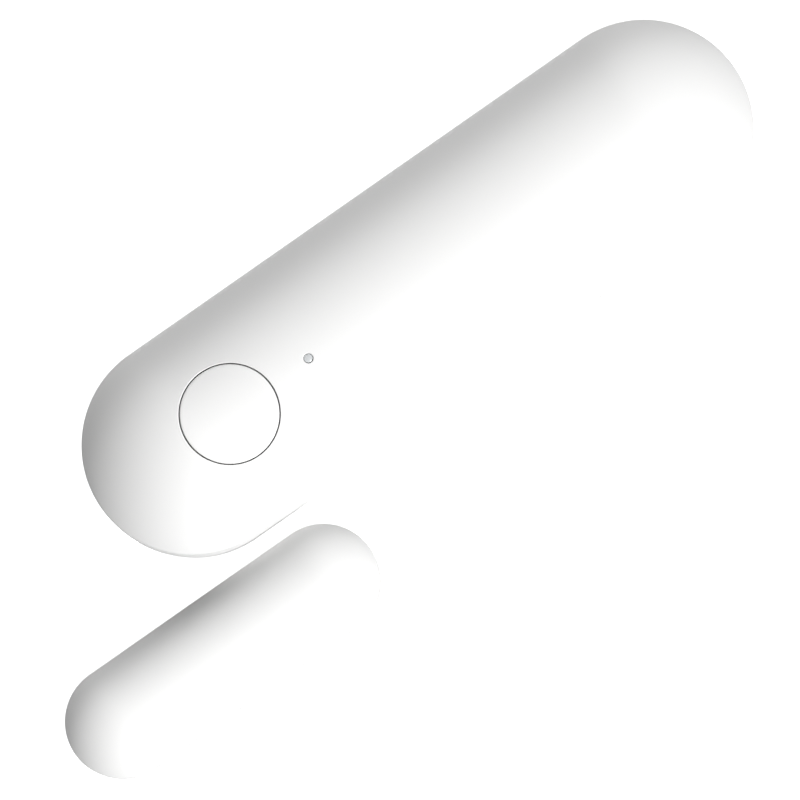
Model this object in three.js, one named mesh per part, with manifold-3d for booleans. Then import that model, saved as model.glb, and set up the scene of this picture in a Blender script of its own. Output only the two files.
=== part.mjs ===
// Wireless door contact sensor: a long sensor unit and its small magnet unit, lying on their backs.
//
// Millimetres, +Z out of the sensor's face, z = 0 on the adhesive backs of both units.
// +X runs along the sensor, away from its button, and the magnet unit lies on the -Y side.
// The origin is the middle of the sensor unit's adhesive back.
import * as THREE from 'three';
import { LoftGeometry } from 'three/addons/geometries/LoftGeometry.js';
import { mergeVertices } from 'three/addons/utils/BufferGeometryUtils.js';
import Module from 'manifold-3d';

const wasm = await Module();
wasm.setup();

// ---- driving dimensions ----

const ROUND_STEPS = 16; // steps around each half circle of the units' outlines
const TURN_STEPS = 32; // steps around a turned piece
const SEAT_GAP = 0.05; // clearance left between pieces that sit on each other

// Round-ended housings: a vertical wall, a rounded edge, then a crown that is a circular arc across
// the width. The crown's straight spine is shorter than the outline's straight sides.
const SENSOR = {
  halfSpan: 27.7, // from the middle to the centre of each round end
  radius: 11.05,
  height: 15.6,
  wall: 1.5,
  edgeRound: 0.9,
  crownRadius: 21.0,
  spineInset: 1.2,
};
const MAGNET = {
  halfSpan: 12.35,
  radius: 5.75,
  height: 9.0,
  wall: 1.1,
  edgeRound: 0.6,
  crownRadius: 10.6,
  spineInset: 0.6,
};
const MAGNET_CENTRE_X = -37.0;
const MAGNET_CENTRE_Y = -18.6;

const PAD_THICKNESS = 0.8;
const PAD_INSET = 1.5;
const PLATE_THICKNESS = 1.2;
const PLATE_INSET = 0.2;
const PLATE_TOP = PAD_THICKNESS + PLATE_THICKNESS;
const COVER_BOTTOM = PLATE_TOP + 0.1;

const BUTTON_X = -22.8;
const BUTTON_RADIUS = 4.98;
const BUTTON_HOLE_RADIUS = 5.1;
const BUTTON_FLANGE_RADIUS = 5.9;
const BUTTON_FACE_ARC = 40.0; // radius of the cap's own, flatter dome
const BUTTON_TOP = SENSOR.height - 0.05;
const BUTTON_TRAVEL = 0.5;
const GUIDE_INNER_RADIUS = 6.1;
const GUIDE_OUTER_RADIUS = 6.9;
const GUIDE_BOTTOM = 11.6;

const LIGHT_X = -13.2;
const LIGHT_HOLE_RADIUS = 0.5;
const LIGHT_LENS_RADIUS = 0.36;

const RECESS_HALF_ANGLE = 25 * Math.PI / 180;
const RECESS_DEPTH = 0.8;
const RECESS_HEIGHT = 3.0;

const BOARD_BOTTOM = 8.0;
const BOARD_THICKNESS = 1.0;
const BOARD_TOP = BOARD_BOTTOM + BOARD_THICKNESS;
const BOARD_RADIUS = 8.9;
const BOARD_RIGHT_X = -12.4;
const PART_SEAT = BOARD_TOP + SEAT_GAP; // underside of the parts on the board

const SWITCH_SIZE = 4.5;
const SWITCH_HEIGHT = 1.8;
const PLUNGER_RADIUS = 1.2;
const PLUNGER_TOP = 11.5;
const STEM_BOTTOM = PLUNGER_TOP + SEAT_GAP;

const SCREW_PLACES = [
  { name: 'board_screw_1', x: -31.6, y: -5.0 },
  { name: 'board_screw_2', x: -15.4, y: 5.6 },
];
const SCREW_SHANK_RADIUS = 0.75;
const SCREW_HOLE_RADIUS = 0.85;
const BOSS_RADIUS = 1.8;

const REED_X = -23.0;
const REED_Y = -7.4;
const REED_RADIUS = 0.9;
const REED_LENGTH = 9.0;
const REED_AXIS_Z = 10.2;
const LEAD_RADIUS = 0.25;

const CELL_RADIUS = 5.25;
const CELL_SLEEVE = 0.2;
const CELL_AXIS_Z = 7.85;
const CELL_NEGATIVE_X = -10.6;
const CELL_BODY_LENGTH = 43.3;
const CELL_NUB_LENGTH = 1.2;
const CELL_NUB_RADIUS = 1.9;
const CELL_BODY_X = CELL_NEGATIVE_X + CELL_BODY_LENGTH;
const CELL_POSITIVE_X = CELL_BODY_X + CELL_NUB_LENGTH;
const CONTACT_THICKNESS = 0.35;

const CRADLE_FLOOR_TOP = CELL_AXIS_Z - CELL_RADIUS - SEAT_GAP;
const CRADLE_RAIL_GAP = 0.15;
const CRADLE_RAIL_WIDTH = 1.1;
const CRADLE_RAIL_TOP = 8.6;

const BAR_MAGNET = { length: 20.0, width: 5.0, height: 4.0, bottom: 3.1 };

// ---- materials ----

function plastic(color, roughness) {
  return new THREE.MeshStandardMaterial({ color, roughness, metalness: 0 });
}

function metal(color, roughness) {
  return new THREE.MeshStandardMaterial({ color, roughness, metalness: 1 });
}

const whiteShell = () => plastic(0xf3f3f1, 0.45);
const whiteButton = () => plastic(0xf6f6f4, 0.4);
const innerPlastic = () => plastic(0xe4e5e4, 0.55);
const foamTape = () => plastic(0xd9d9d4, 0.95);
const clearPlastic = () => plastic(0xdfe3e4, 0.15);
const boardGreen = () => plastic(0x1f5a3a, 0.5);
const blackPlastic = () => plastic(0x1c1c1e, 0.5);
const ceramicTan = () => plastic(0xb9a184, 0.6);
const ceramicWhite = () => plastic(0xe9e6dc, 0.5);
const reedGlass = () => plastic(0xb8cdbb, 0.08);
const cellSleeve = () => plastic(0x3c4a57, 0.35);
const steel = () => metal(0xb9bbbe, 0.32);
const nickel = () => metal(0xc9c7c0, 0.25);
const magnetAlloy = () => metal(0xa3a6ab, 0.28);

// ---- shape helpers ----

function toSolid(geometry) {
  const bare = new THREE.BufferGeometry();
  bare.setAttribute('position', geometry.attributes.position);
  bare.setIndex(geometry.index);
  const merged = mergeVertices(bare, 1e-5);
  const corners = merged.index.array;
  const kept = [];
  for (let i = 0; i < corners.length; i += 3) {
    const [a, b, c] = [corners[i], corners[i + 1], corners[i + 2]];
    if (a !== b && b !== c && c !== a) {
      kept.push(a, b, c);
    }
  }
  return new wasm.Manifold(new wasm.Mesh({
    numProp: 3,
    vertProperties: new Float32Array(merged.attributes.position.array),
    triVerts: new Uint32Array(kept),
  }));
}

function toGeometry(solid) {
  const mesh = solid.getMesh();
  const geometry = new THREE.BufferGeometry();
  geometry.setAttribute('position', new THREE.BufferAttribute(mesh.vertProperties, 3));
  geometry.setIndex(new THREE.BufferAttribute(mesh.triVerts, 1));
  geometry.computeVertexNormals();
  return geometry;
}

function boxBetween([x0, x1], [y0, y1], [z0, z1]) {
  const geometry = new THREE.BoxGeometry(x1 - x0, y1 - y0, z1 - z0);
  return geometry.translate((x0 + x1) / 2, (y0 + y1) / 2, (z0 + z1) / 2);
}

function blockAt(x, y, lengthX, widthY, bottom, height) {
  return boxBetween(
    [x - lengthX / 2, x + lengthX / 2],
    [y - widthY / 2, y + widthY / 2],
    [bottom, bottom + height],
  );
}

// A prism along Z, from z0 to z1.
function prism(shape, z0, z1) {
  const geometry = new THREE.ExtrudeGeometry(shape, {
    depth: z1 - z0,
    bevelEnabled: false,
    curveSegments: ROUND_STEPS,
  });
  return geometry.translate(0, 0, z0);
}

// A piece turned about the Z axis from [radius, z] points, then moved to (x, y).
function turned(points, x, y, steps = TURN_STEPS) {
  const profile = points.map(([radius, z]) => new THREE.Vector2(radius, z));
  const geometry = new THREE.LatheGeometry(profile, steps);
  return geometry.rotateX(Math.PI / 2).translate(x, y, 0);
}

// A piece turned about a line along X from [radius, x] points.
function turnedAlongX(points, y, z, steps = TURN_STEPS) {
  const profile = points.map(([radius, x]) => new THREE.Vector2(radius, x));
  const geometry = new THREE.LatheGeometry(profile, steps);
  return geometry.rotateZ(-Math.PI / 2).translate(0, y, z);
}

function post(x, y, radius, z0, z1) {
  return turned([[0, z0], [radius, z0], [radius, z1], [0, z1]], x, y, TURN_STEPS / 2);
}

function stadiumShape(halfSpan, radius) {
  const shape = new THREE.Shape();
  shape.absarc(halfSpan, 0, radius, -Math.PI / 2, Math.PI / 2, false);
  shape.absarc(-halfSpan, 0, radius, Math.PI / 2, Math.PI * 3 / 2, false);
  shape.closePath();
  return shape;
}

function stadiumRing(halfSpan, radius, z) {
  const ring = [];
  for (const end of [1, -1]) {
    const start = end > 0 ? -Math.PI / 2 : Math.PI / 2;
    for (let i = 0; i <= ROUND_STEPS; i++) {
      const angle = start + Math.PI * i / ROUND_STEPS;
      const x = end * halfSpan + radius * Math.cos(angle);
      ring.push(new THREE.Vector3(x, radius * Math.sin(angle), z));
    }
  }
  return ring;
}

// The outside of a housing, or its inside when inset by the wall's thickness: level rings from the
// bottom of the wall, over the rounded edge and up the crown to a narrow ridge.
function domedSolid(unit, inset, bottom) {
  const radius = unit.radius - inset;
  const top = unit.height - inset;
  const crown = unit.crownRadius - inset;
  const edge = Math.max(unit.edgeRound - inset, 0.2);
  const edgeSteps = 3;
  const crownSteps = 6;
  const ridge = 0.15;

  const crownStart = (radius - edge) * crown / (crown - edge);
  const tilt = Math.asin(crownStart / crown);
  const crownZ = (r) => top - crown + Math.sqrt(crown * crown - r * r);
  const wallTop = crownZ(crownStart) - edge * Math.cos(tilt);
  const spine = (r) => unit.halfSpan - unit.spineInset * (1 - r / radius);

  const levels = [[radius, bottom]];
  for (let i = 0; i <= edgeSteps; i++) {
    const angle = (Math.PI / 2 - tilt) * i / edgeSteps;
    levels.push([radius - edge + edge * Math.cos(angle), wallTop + edge * Math.sin(angle)]);
  }
  for (let i = 1; i <= crownSteps; i++) {
    const r = crownStart + (ridge - crownStart) * i / crownSteps;
    levels.push([r, crownZ(r)]);
  }
  const sections = levels.map(([r, z]) => stadiumRing(spine(r), r, z));
  return toSolid(new LoftGeometry(sections, { capStart: true, capEnd: true }));
}

function hollowShell(unit, bottom) {
  const outside = domedSolid(unit, 0, bottom);
  const inside = domedSolid(unit, unit.wall, bottom - 1);
  return outside.subtract(inside);
}

function node(name, geometry, material) {
  const mesh = new THREE.Mesh(geometry, material);
  mesh.name = name;
  return mesh;
}

// ---- sensor unit: cover, button and light ----

function pryRecess() {
  const inner = SENSOR.radius - RECESS_DEPTH;
  const outer = SENSOR.radius + 1;
  const shape = new THREE.Shape();
  shape.absarc(0, 0, outer, Math.PI - RECESS_HALF_ANGLE, Math.PI + RECESS_HALF_ANGLE, false);
  shape.absarc(0, 0, inner, Math.PI + RECESS_HALF_ANGLE, Math.PI - RECESS_HALF_ANGLE, true);
  shape.closePath();
  const geometry = prism(shape, COVER_BOTTOM - 1, COVER_BOTTOM + RECESS_HEIGHT);
  return toSolid(geometry.translate(-SENSOR.halfSpan, 0, 0));
}

function guideRing() {
  const ringTop = SENSOR.height - SENSOR.wall + 0.1;
  return toSolid(turned([
    [GUIDE_INNER_RADIUS, GUIDE_BOTTOM],
    [GUIDE_OUTER_RADIUS, GUIDE_BOTTOM],
    [GUIDE_OUTER_RADIUS, ringTop],
    [GUIDE_INNER_RADIUS, ringTop],
    [GUIDE_INNER_RADIUS, GUIDE_BOTTOM],
  ], BUTTON_X, 0));
}

function sensorCover() {
  const holeTop = SENSOR.height + 1;
  const buttonHole = turned([
    [0, GUIDE_BOTTOM], [BUTTON_HOLE_RADIUS, GUIDE_BOTTOM], [BUTTON_HOLE_RADIUS, holeTop], [0, holeTop],
  ], BUTTON_X, 0);
  const lightHole = post(LIGHT_X, 0, LIGHT_HOLE_RADIUS, BOARD_TOP, holeTop);
  const shell = hollowShell(SENSOR, COVER_BOTTOM)
    .add(guideRing())
    .subtract(toSolid(buttonHole))
    .subtract(toSolid(lightHole))
    .subtract(pryRecess());
  return node('sensor_cover', toGeometry(shell), whiteShell());
}

// A thin-walled cap with a flatter dome than the cover, a retaining flange and a central stem.
function buttonCap() {
  const flangeTop = SENSOR.height - 2.8;
  const flangeBottom = flangeTop - 0.7;
  const rim = 0.25;
  const skin = 1.2;
  const skirt = BUTTON_RADIUS - 1.0;
  const stem = 1.3;
  const faceZ = (r) => BUTTON_TOP - BUTTON_FACE_ARC + Math.sqrt(BUTTON_FACE_ARC ** 2 - r * r);
  const roofZ = BUTTON_TOP - skin - 0.2;
  const faceEdge = BUTTON_RADIUS - rim;
  const profile = [
    [0, STEM_BOTTOM],
    [stem, STEM_BOTTOM],
    [stem, roofZ],
    [skirt, roofZ],
    [skirt, flangeBottom],
    [BUTTON_FLANGE_RADIUS, flangeBottom],
    [BUTTON_FLANGE_RADIUS, flangeTop],
    [BUTTON_RADIUS, flangeTop],
    [BUTTON_RADIUS, faceZ(faceEdge) - rim],
  ];
  const faceSteps = 4;
  for (let i = 0; i <= faceSteps; i++) {
    const r = faceEdge * (1 - i / faceSteps);
    profile.push([r, faceZ(r)]);
  }
  return node('button_cap', turned(profile, BUTTON_X, 0), whiteButton());
}

function lightPipe() {
  const flangeRadius = 1.1;
  const footZ = BOARD_TOP + 1.0;
  const flangeTop = SENSOR.height - SENSOR.wall - 0.1;
  const profile = [
    [0, footZ],
    [flangeRadius, footZ],
    [flangeRadius, flangeTop],
    [LIGHT_LENS_RADIUS, flangeTop],
    [LIGHT_LENS_RADIUS, SENSOR.height - 0.08],
    [0, SENSOR.height - 0.02],
  ];
  return node('light_pipe', turned(profile, LIGHT_X, 0, TURN_STEPS / 2), clearPlastic());
}

// ---- sensor unit: back ----

function adhesivePad(name, unit) {
  const shape = stadiumShape(unit.halfSpan, unit.radius - PAD_INSET);
  return node(name, prism(shape, 0, PAD_THICKNESS), foamTape());
}

// A flat plate with a raised rim that the cover fits over.
function rimmedPlate(unit, rimHeight, rimWidth) {
  const rimOuter = unit.radius - unit.wall - 0.2;
  const plate = prism(stadiumShape(unit.halfSpan, unit.radius - PLATE_INSET), PAD_THICKNESS, PLATE_TOP);
  const rim = stadiumShape(unit.halfSpan, rimOuter);
  rim.holes.push(stadiumShape(unit.halfSpan, rimOuter - rimWidth));
  const rimStart = PAD_THICKNESS + PLATE_THICKNESS / 2;
  return toSolid(plate).add(toSolid(prism(rim, rimStart, PLATE_TOP + rimHeight)));
}

function sensorBackPlate() {
  return node('sensor_back_plate', toGeometry(rimmedPlate(SENSOR, 2.4, 1.0)), innerPlastic());
}

function screwBoss({ x, y }, floor) {
  return toSolid(post(x, y, BOSS_RADIUS, floor, BOARD_BOTTOM - SEAT_GAP));
}

// The cradle: a floor inside the back plate's rim, two rails and an end wall around the cell,
// and the two screw bosses that carry the board.
function innerChassis() {
  const floorBottom = PLATE_TOP + SEAT_GAP;
  const railInner = CELL_RADIUS + CRADLE_RAIL_GAP;
  const railOuter = railInner + CRADLE_RAIL_WIDTH;
  const endWall = [CELL_POSITIVE_X + CONTACT_THICKNESS + 2 * SEAT_GAP, 35.2];
  const railSpan = [BOARD_RIGHT_X + 1.0, 31.5];
  const floorShape = stadiumShape(SENSOR.halfSpan, 8.1);
  let solid = toSolid(prism(floorShape, floorBottom, CRADLE_FLOOR_TOP));
  for (const side of [1, -1]) {
    const railY = side > 0 ? [railInner, railOuter] : [-railOuter, -railInner];
    solid = solid.add(toSolid(boxBetween(railSpan, railY, [floorBottom, CRADLE_RAIL_TOP])));
  }
  solid = solid.add(toSolid(boxBetween(endWall, [-3.3, 3.3], [floorBottom, CRADLE_RAIL_TOP])));
  for (const place of SCREW_PLACES) {
    solid = solid.add(screwBoss(place, floorBottom));
  }
  const boreBottom = CRADLE_FLOOR_TOP + 1;
  for (const { x, y } of SCREW_PLACES) {
    solid = solid.subtract(toSolid(post(x, y, SCREW_HOLE_RADIUS, boreBottom, BOARD_TOP)));
  }
  return node('inner_chassis', toGeometry(solid), innerPlastic());
}

// ---- sensor unit: board and electronics ----

function circuitBoard() {
  const shape = new THREE.Shape();
  shape.moveTo(BOARD_RIGHT_X, BOARD_RADIUS);
  shape.absarc(-SENSOR.halfSpan, 0, BOARD_RADIUS, Math.PI / 2, Math.PI * 3 / 2, false);
  shape.lineTo(BOARD_RIGHT_X, -BOARD_RADIUS);
  shape.closePath();
  let solid = toSolid(prism(shape, BOARD_BOTTOM, BOARD_TOP));
  for (const { x, y } of SCREW_PLACES) {
    solid = solid.subtract(toSolid(post(x, y, SCREW_HOLE_RADIUS, BOARD_BOTTOM - 1, BOARD_TOP + 1)));
  }
  return node('circuit_board', toGeometry(solid), boardGreen());
}

function boardScrew({ name, x, y }) {
  const headBottom = BOARD_TOP + SEAT_GAP;
  const headTop = headBottom + 0.9;
  const shankBottom = CRADLE_FLOOR_TOP + 1.2;
  const screw = toSolid(turned([
    [0, shankBottom],
    [SCREW_SHANK_RADIUS, shankBottom],
    [SCREW_SHANK_RADIUS, headBottom],
    [1.5, headBottom],
    [1.5, headTop - 0.3],
    [1.2, headTop],
    [0, headTop],
  ], x, y, TURN_STEPS / 2));
  const slotDepth = 0.5;
  const crossA = toSolid(blockAt(x, y, 1.7, 0.35, headTop - slotDepth, 1));
  const crossB = toSolid(blockAt(x, y, 0.35, 1.7, headTop - slotDepth, 1));
  return node(name, toGeometry(screw.subtract(crossA.add(crossB))), steel());
}

function tactSwitchBody() {
  const block = toSolid(blockAt(BUTTON_X, 0, SWITCH_SIZE, SWITCH_SIZE, PART_SEAT, SWITCH_HEIGHT));
  const well = toSolid(post(BUTTON_X, 0, PLUNGER_RADIUS + 0.1, PART_SEAT + 0.1, BOARD_TOP + 3));
  return node('tact_switch_body', toGeometry(block.subtract(well)), blackPlastic());
}

function tactSwitchPlunger() {
  const bottom = PART_SEAT + 0.1 + BUTTON_TRAVEL + 0.1;
  const geometry = post(BUTTON_X, 0, PLUNGER_RADIUS, bottom, PLUNGER_TOP);
  return node('tact_switch_plunger', geometry, ceramicWhite());
}

function boardBlocks() {
  const blocks = [
    { name: 'indicator_led', x: LIGHT_X, y: 0, size: [0.8, 1.6, 0.7], material: ceramicWhite },
    { name: 'radio_ic', x: -29.9, y: 1.9, size: [5.0, 5.0, 0.9], material: blackPlastic },
    { name: 'chip_antenna', x: -35.0, y: 0, size: [1.6, 6.4, 1.1], material: ceramicWhite },
    { name: 'crystal', x: -27.2, y: -3.2, size: [2.5, 2.0, 0.8], material: nickel },
    { name: 'capacitor_1', x: -18.4, y: 3.0, size: [1.6, 0.8, 0.8], material: ceramicTan },
    { name: 'capacitor_2', x: -18.4, y: 4.8, size: [1.6, 0.8, 0.8], material: ceramicTan },
  ];
  return blocks.map(({ name, x, y, size, material }) => (
    node(name, blockAt(x, y, size[0], size[1], PART_SEAT, size[2]), material())
  ));
}

function reedGlassTube() {
  const half = REED_LENGTH / 2;
  const roundSteps = 4;
  const profile = [];
  for (const end of [-1, 1]) {
    for (let i = 0; i <= roundSteps; i++) {
      const angle = Math.PI / 2 * (end < 0 ? i : roundSteps - i) / roundSteps;
      const along = end * (half - REED_RADIUS + REED_RADIUS * Math.cos(angle));
      profile.push([REED_RADIUS * Math.sin(angle), REED_X + along]);
    }
  }
  profile[0][0] = 0;
  profile[profile.length - 1][0] = 0;
  return node('reed_switch_glass', turnedAlongX(profile, REED_Y, REED_AXIS_Z, 16), reedGlass());
}

// A wire from one end of the reed switch, bent down to the board.
function reedLead(name, side) {
  const startX = REED_X + side * (REED_LENGTH / 2 + SEAT_GAP);
  const run = 1.0;
  const bend = 0.6;
  const route = new THREE.CurvePath();
  const start = new THREE.Vector3(startX, REED_Y, REED_AXIS_Z);
  const bendStart = new THREE.Vector3(startX + side * run, REED_Y, REED_AXIS_Z);
  const corner = new THREE.Vector3(startX + side * (run + bend), REED_Y, REED_AXIS_Z);
  const bendEnd = new THREE.Vector3(startX + side * (run + bend), REED_Y, REED_AXIS_Z - bend);
  const foot = new THREE.Vector3(startX + side * (run + bend), REED_Y, PART_SEAT);
  route.add(new THREE.LineCurve3(start, bendStart));
  route.add(new THREE.QuadraticBezierCurve3(bendStart, corner, bendEnd));
  route.add(new THREE.LineCurve3(bendEnd, foot));
  const section = new THREE.Shape();
  section.absarc(0, 0, LEAD_RADIUS, 0, Math.PI * 2, false);
  const geometry = new THREE.ExtrudeGeometry(section, {
    extrudePath: route,
    steps: 16,
    curveSegments: 4,
  });
  return node(name, geometry, steel());
}

// ---- sensor unit: cell and contacts ----

function batteryCan() {
  const radius = CELL_RADIUS - CELL_SLEEVE - SEAT_GAP;
  const profile = [
    [0, CELL_NEGATIVE_X],
    [radius, CELL_NEGATIVE_X],
    [radius, CELL_BODY_X],
    [CELL_NUB_RADIUS, CELL_BODY_X],
    [CELL_NUB_RADIUS, CELL_POSITIVE_X],
    [0, CELL_POSITIVE_X],
  ];
  return node('battery_can', turnedAlongX(profile, 0, CELL_AXIS_Z), nickel());
}

function batterySleeve() {
  const inner = CELL_RADIUS - CELL_SLEEVE;
  const start = CELL_NEGATIVE_X + 0.4;
  const end = CELL_BODY_X - 0.3;
  const profile = [[inner, start], [CELL_RADIUS, start], [CELL_RADIUS, end], [inner, end], [inner, start]];
  return node('battery_sleeve', turnedAlongX(profile, 0, CELL_AXIS_Z), cellSleeve());
}

// An L-shaped plate seen from the side: an upright against the cell's end, with a bowed tongue
// that presses on it, and a foot on the board.
function contactNegative() {
  const faceX = BOARD_RIGHT_X + 0.25;
  const footTop = PART_SEAT + CONTACT_THICKNESS;
  const footLeft = BOARD_RIGHT_X - 3.0;
  const bottom = CRADLE_FLOOR_TOP + 1;
  const bow = CELL_NEGATIVE_X - SEAT_GAP - faceX - CONTACT_THICKNESS;
  const profile = new THREE.Shape();
  const side = faceX + CONTACT_THICKNESS;
  profile.moveTo(footLeft, PART_SEAT);
  profile.lineTo(faceX, PART_SEAT);
  profile.lineTo(faceX, bottom);
  profile.lineTo(side, bottom);
  profile.lineTo(side, CELL_AXIS_Z - 1.6);
  profile.quadraticCurveTo(side + 2 * bow, CELL_AXIS_Z - 0.4, side, footTop - 0.2);
  profile.lineTo(side, footTop);
  profile.lineTo(footLeft, footTop);
  profile.closePath();
  const width = 3.0;
  const geometry = new THREE.ExtrudeGeometry(profile, {
    depth: width,
    bevelEnabled: false,
    curveSegments: 8,
  });
  geometry.rotateX(Math.PI / 2).translate(0, -1.6, 0);
  return node('contact_negative', geometry, nickel());
}

// A plate at the cell's positive end, with a strip along the cradle's rail and a foot on the board.
function contactPositive() {
  const plateX = [CELL_POSITIVE_X + SEAT_GAP, CELL_POSITIVE_X + SEAT_GAP + CONTACT_THICKNESS];
  const stripTop = CRADLE_RAIL_TOP + SEAT_GAP + CONTACT_THICKNESS;
  const stripZ = [CRADLE_RAIL_TOP + SEAT_GAP, stripTop];
  const footZ = [PART_SEAT, PART_SEAT + CONTACT_THICKNESS];
  const stripY = [5.5, 6.4];
  const stripLeft = BOARD_RIGHT_X + 0.6;
  const plate = toSolid(boxBetween(plateX, [-3.6, 3.6], [CRADLE_FLOOR_TOP + 1, CELL_AXIS_Z + 4]));
  const arm = toSolid(boxBetween(plateX, [3.0, stripY[1]], stripZ));
  const strip = toSolid(boxBetween([stripLeft, plateX[1]], stripY, stripZ));
  const stepRight = stripLeft + CONTACT_THICKNESS;
  const step = toSolid(boxBetween([stripLeft, stepRight], stripY, [stripZ[0], footZ[1]]));
  const foot = toSolid(boxBetween([BOARD_RIGHT_X - 1.0, stepRight], stripY, footZ));
  const solid = plate.add(arm).add(strip).add(step).add(foot);
  return node('contact_positive', toGeometry(solid), nickel());
}

// ---- magnet unit ----

function magnetCover() {
  return node('magnet_cover', toGeometry(hollowShell(MAGNET, COVER_BOTTOM)), whiteShell());
}

function magnetBackPlate() {
  return node('magnet_back_plate', toGeometry(rimmedPlate(MAGNET, 2.0, 0.9)), innerPlastic());
}

function barMagnet() {
  const { length, width, height, bottom } = BAR_MAGNET;
  const chamfer = 0.4;
  const section = new THREE.Shape();
  section.moveTo(-width / 2 + chamfer, bottom);
  section.lineTo(width / 2 - chamfer, bottom);
  section.lineTo(width / 2, bottom + chamfer);
  section.lineTo(width / 2, bottom + height - chamfer);
  section.lineTo(width / 2 - chamfer, bottom + height);
  section.lineTo(-width / 2 + chamfer, bottom + height);
  section.lineTo(-width / 2, bottom + height - chamfer);
  section.lineTo(-width / 2, bottom + chamfer);
  section.closePath();
  const geometry = new THREE.ExtrudeGeometry(section, { depth: length, bevelEnabled: false });
  geometry.rotateX(Math.PI / 2).rotateZ(Math.PI / 2).translate(-length / 2, 0, 0);
  return node('bar_magnet', geometry, magnetAlloy());
}

// ---- assembly ----

function sensorUnit() {
  const unit = new THREE.Group();
  unit.add(sensorCover(), buttonCap(), lightPipe());
  unit.add(sensorBackPlate(), adhesivePad('sensor_adhesive_pad', SENSOR), innerChassis());
  unit.add(circuitBoard(), ...SCREW_PLACES.map(boardScrew));
  unit.add(tactSwitchBody(), tactSwitchPlunger(), ...boardBlocks());
  unit.add(reedGlassTube(), reedLead('reed_lead_inner', 1), reedLead('reed_lead_outer', -1));
  unit.add(batteryCan(), batterySleeve(), contactNegative(), contactPositive());
  return unit;
}

function magnetUnit() {
  const unit = new THREE.Group();
  unit.add(magnetCover(), magnetBackPlate(), barMagnet(), adhesivePad('magnet_adhesive_pad', MAGNET));
  unit.position.set(MAGNET_CENTRE_X, MAGNET_CENTRE_Y, 0);
  return unit;
}

const doorContactSensor = new THREE.Group();
doorContactSensor.add(sensorUnit(), magnetUnit());

export default doorContactSensor;
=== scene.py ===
"""Looks for a wireless door contact sensor: a long white sensor unit and its small magnet unit.

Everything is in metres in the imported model's frame: +Z out of the face, +X along the sensor unit
away from its button, the magnet unit on the -Y side.
"""

import math

import bmesh
import bpy
from mathutils import Matrix, Vector
from mathutils.geometry import delaunay_2d_cdt


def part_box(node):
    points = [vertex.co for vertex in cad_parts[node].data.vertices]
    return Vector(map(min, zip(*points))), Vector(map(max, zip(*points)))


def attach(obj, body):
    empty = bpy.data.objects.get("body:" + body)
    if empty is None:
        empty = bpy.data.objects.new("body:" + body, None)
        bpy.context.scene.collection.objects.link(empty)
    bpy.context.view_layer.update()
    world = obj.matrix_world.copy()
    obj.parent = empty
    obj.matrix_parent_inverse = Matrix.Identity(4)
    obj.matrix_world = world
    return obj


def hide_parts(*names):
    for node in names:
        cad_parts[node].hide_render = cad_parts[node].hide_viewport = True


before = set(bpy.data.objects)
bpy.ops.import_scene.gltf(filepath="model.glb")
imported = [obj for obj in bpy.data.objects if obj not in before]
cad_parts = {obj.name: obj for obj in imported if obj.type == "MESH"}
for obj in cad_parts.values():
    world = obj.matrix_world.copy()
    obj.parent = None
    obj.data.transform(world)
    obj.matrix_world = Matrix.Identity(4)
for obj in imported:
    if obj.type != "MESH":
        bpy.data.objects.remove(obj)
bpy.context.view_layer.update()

MM = 0.001

# ---- driving values, in millimetres where a name ends in _MM ----

ARC_STEPS = 72  # steps round each half circle of an outline
SIDE_STEPS = 36  # steps along each straight side
TURN_STEPS = 96  # steps round a turned piece
FIELD_SPACING_MM = 0.55  # distance between the points that carry a crowned face

# Round-ended housings: wall thickness, edge rounding, crown arc and how far the spine stops short.
SENSOR_SHAPE = {"wall": 1.5, "edge": 0.9, "crown": 13.0, "spine_inset": 1.2}
MAGNET_SHAPE = {"wall": 1.1, "edge": 0.6, "crown": 6.7, "spine_inset": 0.6}

BUTTON_RADIUS_MM = 4.98
BUTTON_HOLE_RADIUS_MM = 5.1
BUTTON_FACE_DROP_MM = 0.05  # how far the cap's face lies below the cover's crown
BUTTON_FLANGE_TOP_MM = 12.1
GUIDE_BOTTOM_MM = 11.2
HOLE_LIP_MM = 0.08  # rounding of the button hole's edge
LIGHT_LIP_MM = 0.06
RECESS_HALF_ANGLE = math.radians(25)
RECESS_DEPTH_MM = 0.8
RECESS_HEIGHT_MM = 3.0
RECESS_SOFTNESS_MM = 0.18
SCREW_HOLE_RADIUS_MM = 0.85
PLUNGER_WELL_RADIUS_MM = 1.3
LEAD_RADIUS_MM = 0.25
BOTTOM_ROUND_MM = 0.15


# ---- where things are, from the frame ----


def box_mm(node):
    low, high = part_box(node)
    return [v / MM for v in low], [v / MM for v in high]


def centre_mm(node):
    low, high = box_mm(node)
    return [(a + b) / 2 for a, b in zip(low, high)]


# ---- mesh building ----


class Builder:
    """Collects vertices in millimetres and faces, then makes one object in metres."""

    def __init__(self):
        self.verts = []
        self.faces = []

    def add(self, points):
        start = len(self.verts)
        self.verts.extend(points)
        return list(range(start, len(self.verts)))

    def bridge(self, lower, upper):
        """Quads between two closed loops of equal length, facing out when both run anticlockwise."""
        count = len(lower)
        for i in range(count):
            j = (i + 1) % count
            self.faces.append((lower[i], lower[j], upper[j], upper[i]))

    def cap(self, loop, facing_up):
        self.faces.append(tuple(loop) if facing_up else tuple(reversed(loop)))

    def rings(self, rows):
        """Bridges a list of loops, each given as points, and returns the loops' vertex numbers."""
        loops = [self.add(row) for row in rows]
        for lower, upper in zip(loops, loops[1:]):
            self.bridge(lower, upper)
        return loops

    def object(self, name, sharp_degrees=35):
        mesh = bpy.data.meshes.new(name)
        mesh.from_pydata([[c * MM for c in v] for v in self.verts], [], self.faces)
        mesh.validate()
        made = bpy.data.objects.new(name, mesh)
        bpy.context.scene.collection.objects.link(made)
        smooth(made, sharp_degrees)
        return made


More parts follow.
